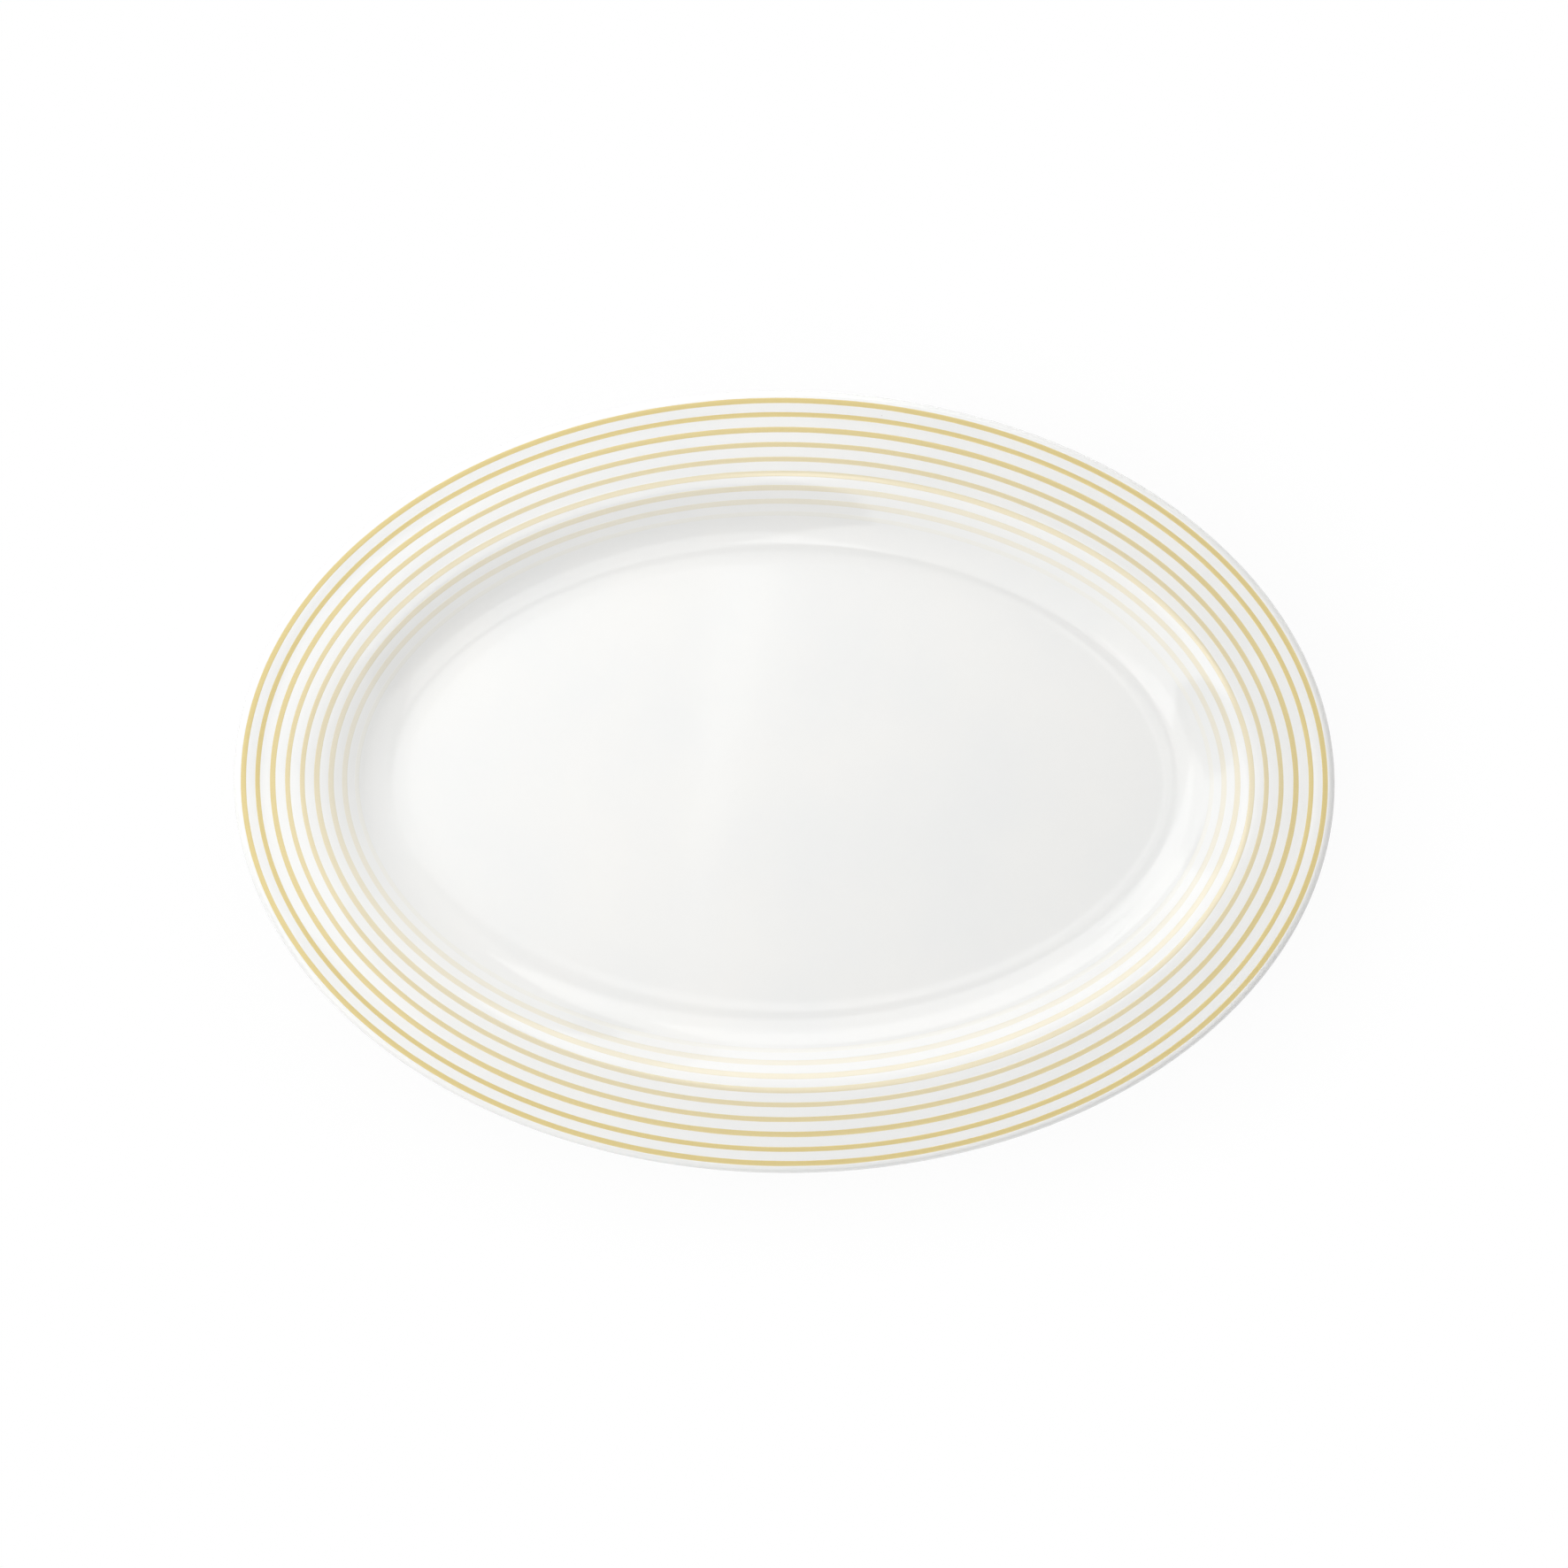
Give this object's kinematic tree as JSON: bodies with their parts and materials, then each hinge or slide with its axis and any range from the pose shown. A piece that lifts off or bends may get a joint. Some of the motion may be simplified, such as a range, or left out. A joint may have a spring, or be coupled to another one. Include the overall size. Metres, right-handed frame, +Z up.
{
  "type": "serving platter",
  "caption": "Oval china serving platter with a wide sloped rim, a shallow flat-floored well, a low foot and fine gold lines that pale toward the well.",
  "frame": {"origin": "on the table under the platter's middle, in the plane of the foot's standing face", "axes": "+Z up, out of the well; +X along the platter's length; +Y along its width"},
  "size_m": [0.38, 0.27, 0.0321],
  "materials": {
    "porcelain": "unglazed fired porcelain, matt",
    "glaze": "clear gloss glaze over white porcelain",
    "gold_1": "satin gilding, full gold",
    "gold_2": "satin gilding, full gold",
    "gold_3": "satin gilding, full gold",
    "gold_4": "satin gilding, paler gold",
    "gold_5": "satin gilding, paler gold",
    "gold_6": "satin gilding, paler gold",
    "gold_7": "satin gilding, thin, nearly white gold",
    "gold_8": "satin gilding, thin, nearly white gold",
    "gold_9": "satin gilding, thin, nearly white gold"
  },
  "bodies": {
    "root": {"porcelain_body": "porcelain", "glaze_coat": "glaze", "recess_glaze": "glaze", "gold_band_1": "gold_1", "gold_band_2": "gold_2", "gold_band_3": "gold_3", "gold_band_4": "gold_4", "gold_band_5": "gold_5", "gold_band_6": "gold_6", "gold_band_7": "gold_7", "gold_band_8": "gold_8", "gold_band_9": "gold_9"}
  },
  "joints": []
}
